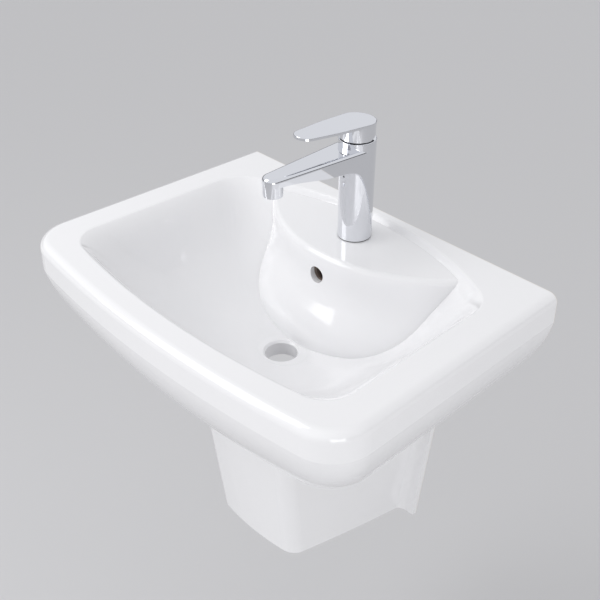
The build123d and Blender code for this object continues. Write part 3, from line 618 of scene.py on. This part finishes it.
class BASIN_OT_tap(bpy.types.Operator):
    """Plates the tap and gives its seals, discs and plastics their finishes"""

    bl_idname = "basin.tap"
    bl_label = "Finish the tap"

    def execute(self, context):
        setting = context.scene.basin_finish
        chrome = metal(
            "chrome",
            setting.chrome_colour,
            setting.chrome_roughness,
            spread=0.012,
            grain=30.0,
            peel=0.000004,
        )
        steel = metal(
            "zinc_steel",
            (0.56, 0.57, 0.60),
            0.32,
            spread=0.08,
            grain=120.0,
            stain=0.18,
            peel=0.00001,
        )
        brass = metal(
            "brass", (0.75, 0.60, 0.32), 0.28, spread=0.07, grain=120.0, stain=0.15, peel=0.00001
        )
        plug = metal("plated_plug", (0.60, 0.61, 0.64), 0.14, spread=0.04, grain=80.0)
        rubber = moulded("black_rubber", (0.028, 0.028, 0.029), 0.55, grain=900.0, depth=0.00002)
        disc = moulded("disc_ceramic", (0.82, 0.80, 0.76), 0.18, grain=700.0, depth=0.000003)
        nylon = moulded("white_nylon", (0.78, 0.78, 0.75), 0.42, grain=500.0, depth=0.00001)
        dress(CHROME_NODES, chrome)
        dress(STEEL_NODES, steel)
        dress(("cartridge_nut",), brass)
        dress(("lever_index_plug",), plug)
        dress(RUBBER_NODES, rubber)
        dress(DISC_NODES, disc)
        dress(NYLON_NODES, nylon)
        return {"FINISHED"}


class BASIN_OT_stud(bpy.types.Operator):
    """Makes the threaded stud below the ledge"""

    bl_idname = "basin.stud"
    bl_label = "Make the stud"

    def execute(self, context):
        steel = metal("stud_steel", (0.58, 0.58, 0.60), 0.30, spread=0.08, grain=260.0, stain=0.2)
        pitch = context.scene.basin_tap.thread_pitch
        stud = threaded_rod("stud", node_box("tap_stud"), pitch, steel)
        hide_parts("tap_stud")
        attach(stud, "fixture")
        return {"FINISHED"}


class BASIN_OT_nut(bpy.types.Operator):
    """Makes the chamfered nut on the stud"""

    bl_idname = "basin.nut"
    bl_label = "Make the nut"

    def execute(self, context):
        steel = metal(
            "nut_steel",
            (0.60, 0.59, 0.56),
            0.26,
            spread=0.07,
            grain=200.0,
            stain=0.15,
            peel=0.00001,
        )
        clearance = 0.00005
        bore = node_box("tap_stud").half[0] + clearance
        chamfer = context.scene.basin_tap.nut_chamfer
        nut = chamfered_nut("nut", node_box("stud_nut"), bore, chamfer, steel)
        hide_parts("stud_nut")
        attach(nut, "fixture")
        return {"FINISHED"}


class BASIN_OT_screen(bpy.types.Operator):
    """Makes the woven screen at the mouth of the aerator"""

    bl_idname = "basin.screen"
    bl_label = "Make the aerator screen"

    def execute(self, context):
        wire = screen_wire("screen_wire")
        pitch = context.scene.basin_tap.screen_pitch
        screen = wire_screen("aerator_screen", node_box("aerator_insert"), pitch, wire)
        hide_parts("aerator_insert")
        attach(screen, "fixture")
        return {"FINISHED"}


class BASIN_OT_overflow(bpy.types.Operator):
    """Makes the duct behind the overflow hole"""

    bl_idname = "basin.overflow"
    bl_label = "Make the overflow duct"

    def execute(self, context):
        finish = context.scene.basin_finish
        size = context.scene.basin_size
        matt, grit = 0.6, 0.00005
        outside = moulded("duct_clay", finish.bisque_colour, matt, grain=300.0, depth=grit)
        # painted shade: the duct's inside takes the overflow's dark clay colour
        inside = moulded("duct_painted_shade", finish.overflow_painted_shade, matt, grain=420.0, depth=grit)
        mouth = (DUCT_SETBACK - size.overflow_lip, node_box("basin").high - size.overflow_drop)
        radius, wall = size.overflow_radius, size.duct_wall
        duct = overflow_duct("overflow_duct", mouth, radius, wall, outside, inside)
        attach(duct, "fixture")
        return {"FINISHED"}


class BASIN_OT_stay_hole(bpy.types.Operator):
    """Makes the small hole in the front of the tap, below its spout, as a dish painted near black
    for the hole's shade
    """

    bl_idname = "basin.stay_hole"
    bl_label = "Make the stay hole"

    def execute(self, context):
        finish = context.scene.basin_finish
        tap = context.scene.basin_tap
        rim = metal(
            "hole_rim", finish.chrome_colour, finish.chrome_roughness, spread=0.012, grain=30.0
        )
        # painted shade: a near-black finish on the shallow dish stands in for the hole's depth
        dark = moulded("hole_painted_shade", (0.010, 0.010, 0.011), 0.7, grain=900.0, depth=0.00001)
        height = node_box("tap_body").low + tap.hole_height
        before, backwards = (0.0, -1.0, height), (0.0, 1.0, 0.0)
        found, spot, _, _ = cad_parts["tap_body"].ray_cast(before, backwards)
        if not found:
            raise RuntimeError("the tap's front wasn't found")
        hole = drilled_spot("stay_hole", spot, tap.hole_radius, dark, rim)
        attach(hole, "fixture")
        return {"FINISHED"}


class BASIN_OT_stage(bpy.types.Operator):
    """Lays the floor and places the lamps and the camera"""

    bl_idname = "basin.stage"
    bl_label = "Set up the stage"

    def execute(self, context):
        setting = context.scene.basin_stage
        half = setting.floor_size / 2
        corners = np.array([[-half, -half], [half, -half], [half, half], [-half, half]])
        height = np.full((4, 1), setting.floor_height)
        mesh = bpy.data.meshes.new("floor")
        mesh.from_pydata(np.hstack([corners, height]).tolist(), [], [(0, 1, 2, 3)])
        floor = bpy.data.objects.new("floor", mesh)
        context.collection.objects.link(floor)
        paint, _, shader = principled("floor")
        shader.inputs["Base Color"].default_value = solid(setting.floor_colour)
        shader.inputs["Roughness"].default_value = FLOOR_ROUGHNESS
        mesh.materials.append(paint)
        context.scene.world = studio(setting)

        sun = bpy.data.lights.new("key", "SUN")
        sun.energy = setting.key_strength
        sun.angle = math.radians(KEY_ANGLE)
        aim(context, sun, KEY_SPOT, KEY_TARGET)
        lamps = (("fill", setting.fill_power, FILL_SPOT), ("side", setting.side_power, SIDE_SPOT))
        for name, power, spot in lamps:
            lamp = bpy.data.lights.new(name, "AREA")
            lamp.size = LAMP_SIZE
            lamp.energy = power
            aim(context, lamp, spot, LAMP_TARGET)

        data = bpy.data.cameras.new("camera")
        data.sensor_width = CAMERA_SENSOR
        data.lens = CAMERA_LENS
        camera = bpy.data.objects.new("camera", data)
        camera.location = CAMERA_SPOT
        camera.rotation_euler = [math.radians(angle) for angle in CAMERA_TURN]
        context.collection.objects.link(camera)
        context.scene.camera = camera
        context.scene.view_settings.view_transform = "Standard"
        return {"FINISHED"}


def studio(setting):
    """Soft even light. What is seen past the floor is pale. Mirrors show pale walls with a dark
    band low down: it fades out upwards, where the ray's z grows, and towards the front."""
    walls, low_band, tint = (0.80, 0.81, 0.84), (0.03, 0.031, 0.035), (1.0, 1.0, 1.015)
    band_full, band_end = 0.10, 0.28
    rightwards, front_start, front_full, front_gap = 0.35, 0.45, 0.85, 0.85
    world = bpy.data.worlds.new("studio")
    world.use_nodes = True
    tree = world.node_tree
    x, y, z = axes(tree, "Generated")
    front = (rightwards * x - y).step(front_start, front_full)
    band = (1 - z.step(band_full, band_end)) * (1 - front_gap * front)
    mirror = band.blend(solid(walls), solid(low_band))
    even = solid(tuple(setting.world_strength * value for value in tint))
    lit = ray(tree, "Is Glossy Ray").blend(even, mirror)
    seen = ray(tree, "Is Camera Ray").larger(ray(tree, "Is Transmission Ray"))
    background = tree.nodes["Background"]
    seen.blend(lit, solid(setting.backdrop_colour)).feed(background, "Color")
    background.inputs["Strength"].default_value = 1.0
    return world


def aim(context, data, spot, target):
    """Puts a lamp at a spot, facing a target."""
    item = bpy.data.objects.new(data.name, data)
    item.location = spot
    toward = np.array(target) - np.array(spot)
    tilt = math.atan2(math.hypot(toward[0], toward[1]), -toward[2])
    item.rotation_euler = (tilt, 0.0, math.atan2(toward[1], toward[0]) - math.pi / 2)
    context.collection.objects.link(item)


class BASIN_PT_panel(bpy.types.Panel):
    """Lists the settings and the steps"""

    bl_label = "Basin"
    bl_idname = "BASIN_PT_panel"
    bl_space_type = "VIEW_3D"
    bl_region_type = "UI"
    bl_category = "Basin"

    def draw(self, context):
        layout = self.layout
        for name in SETTINGS:
            group = getattr(context.scene, name)
            for key in group.__annotations__:
                layout.prop(group, key)
        for operator in OPERATORS:
            layout.operator(operator.bl_idname)


SETTINGS = {
    "basin_finish": FinishSettings,
    "basin_size": BasinSettings,
    "basin_tap": TapSettings,
    "basin_stage": StageSettings,
}
OPERATORS = (
    BASIN_OT_ceramic,
    BASIN_OT_tap,
    BASIN_OT_stud,
    BASIN_OT_nut,
    BASIN_OT_screen,
    BASIN_OT_overflow,
    BASIN_OT_stay_hole,
    BASIN_OT_stage,
)
CLASSES = (*SETTINGS.values(), *OPERATORS, BASIN_PT_panel)


def register():
    """Adds the classes, and the settings to every scene."""
    for item in CLASSES:
        bpy.utils.register_class(item)
    for name, group in SETTINGS.items():
        setattr(bpy.types.Scene, name, bpy.props.PointerProperty(type=group))


def unregister():
    """Takes out what register adds."""
    for name in SETTINGS:
        delattr(bpy.types.Scene, name)
    for item in reversed(CLASSES):
        bpy.utils.unregister_class(item)


def main():
    """Dresses the frame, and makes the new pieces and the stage."""
    register()
    bpy.ops.basin.ceramic()
    bpy.ops.basin.tap()
    bpy.ops.basin.stud()
    bpy.ops.basin.nut()
    bpy.ops.basin.screen()
    bpy.ops.basin.overflow()
    bpy.ops.basin.stay_hole()
    bpy.ops.basin.stage()


if __name__ == "__main__":
    main()
